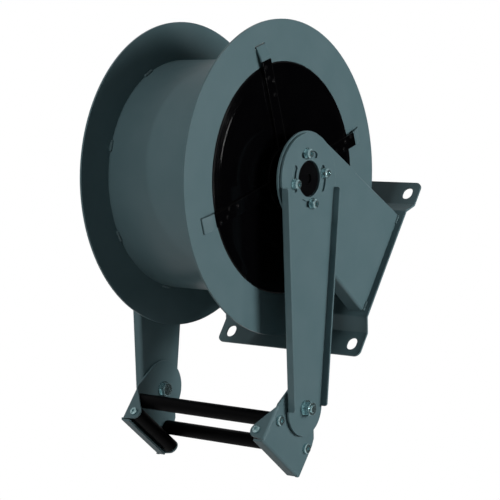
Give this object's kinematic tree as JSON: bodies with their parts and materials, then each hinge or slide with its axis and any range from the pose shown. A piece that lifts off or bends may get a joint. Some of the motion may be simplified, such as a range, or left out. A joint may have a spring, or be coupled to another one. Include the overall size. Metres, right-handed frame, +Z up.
{
  "type": "wall-mounted spring-rewind hose reel",
  "caption": "Open-drum hose reel for a wall: spring drum between two cheeks on a joggled base plate, with swinging channel arms that carry a tilting roller guide.",
  "frame": {"origin": "centre of the four wall slots, on the wall plane", "axes": "X along the axle (+X the closed, spring side), +Y into the wall, +Z up along the base plate"},
  "size_m": [0.326, 0.4879, 0.5989],
  "materials": {
    "grey_paint": "satin powder coat",
    "black_paint": "gloss powder coat",
    "black_plastic": "satin",
    "zinc": "bright zinc plate",
    "brass": "turned",
    "rubber": "matte"
  },
  "bodies": {
    "base": {"back_plate": "grey_paint", "near_cheek": "grey_paint", "far_cheek": "grey_paint", "cheek_welds": "grey_paint", "axle": "zinc", "near_axle_flange": "zinc", "far_hub_block": "zinc", "near_spacer": "grey_paint", "hub_cap": "black_plastic", "axle_nut": "zinc", "inlet_fitting": "brass", "hub_screws": "zinc", "hub_washers": "zinc", "spring_arbor": "zinc", "pawl_pins": "zinc", "pawl_spring": "zinc"},
    "drum": {"barrel": "grey_paint", "near_flange": "grey_paint", "far_flange": "grey_paint", "flange_welds": "grey_paint", "spring_cover": "black_paint", "spring_plate": "grey_paint", "main_spring": "zinc", "near_hub": "black_paint", "far_hub": "grey_paint", "far_spider": "grey_paint", "hub_bushes": "brass", "spoke_1": "black_paint", "spoke_2": "black_paint", "spoke_3": "black_paint", "spoke_4": "black_paint", "strap_1": "grey_paint", "strap_2": "grey_paint", "strap_3": "grey_paint", "strap_4": "grey_paint", "spoke_rivets": "black_paint", "ratchet_wheel": "zinc", "swivel_body": "brass", "swivel_seals": "rubber", "outlet_pipe": "brass", "hose_outlet": "brass"},
    "guide_arms": {"near_arm": "grey_paint", "far_arm": "grey_paint", "pivot_bolts": "zinc", "pivot_washers": "zinc", "pivot_nuts": "zinc"},
    "roller_guide": {"near_bracket": "grey_paint", "far_bracket": "grey_paint", "long_rods": "zinc", "short_rods": "zinc", "rod_screws": "zinc", "tab_screws": "zinc"},
    "upper_front_roller": {"front_long_roller": "black_plastic"},
    "upper_rear_roller": {"rear_long_roller": "black_plastic"},
    "near_side_roller": {"near_short_roller": "black_plastic"},
    "far_side_roller": {"far_short_roller": "black_plastic"},
    "pawl_lever": {"pawl": "zinc"}
  },
  "joints": [
    {"name": "drum_spin", "type": "hinge", "parent": "base", "child": "drum", "pos_m": [0, -0.258, 0], "axis": [-1, 0, 0], "range_deg": [0, 4320], "stiffness_Nm_per_rad": 0.06, "springref_deg": -3437.75},
    {"name": "arm_swing", "type": "hinge", "parent": "base", "child": "guide_arms", "pos_m": [0, -0.258, 0], "axis": [1, 0, 0], "range_deg": [-12, 3]},
    {"name": "guide_tilt", "type": "hinge", "parent": "guide_arms", "child": "roller_guide", "pos_m": [0, -0.07414, -0.27884], "axis": [1, 0, 0], "range_deg": [-35, 2]},
    {"name": "front_roller_spin", "type": "hinge", "parent": "roller_guide", "child": "upper_front_roller", "pos_m": [-0.009, -0.11452, -0.31938], "axis": [1, 0, 0], "continuous": true},
    {"name": "rear_roller_spin", "type": "hinge", "parent": "roller_guide", "child": "upper_rear_roller", "pos_m": [-0.009, -0.03218, -0.32456], "axis": [1, 0, 0], "continuous": true},
    {"name": "near_roller_spin", "type": "hinge", "parent": "roller_guide", "child": "near_side_roller", "pos_m": [0.107, -0.07852, -0.3484], "axis": [0, 0.998, -0.0628], "continuous": true},
    {"name": "far_roller_spin", "type": "hinge", "parent": "roller_guide", "child": "far_side_roller", "pos_m": [-0.125, -0.07852, -0.3484], "axis": [0, 0.998, -0.0628], "continuous": true},
    {"name": "pawl_swing", "type": "hinge", "parent": "base", "child": "pawl_lever", "pos_m": [0, -0.192, 0.04], "axis": [1, 0, 0], "range_deg": [0, 14], "stiffness_Nm_per_rad": 0.02, "springref_deg": -28.65, "deforming": ["pawl_spring"]}
  ]
}
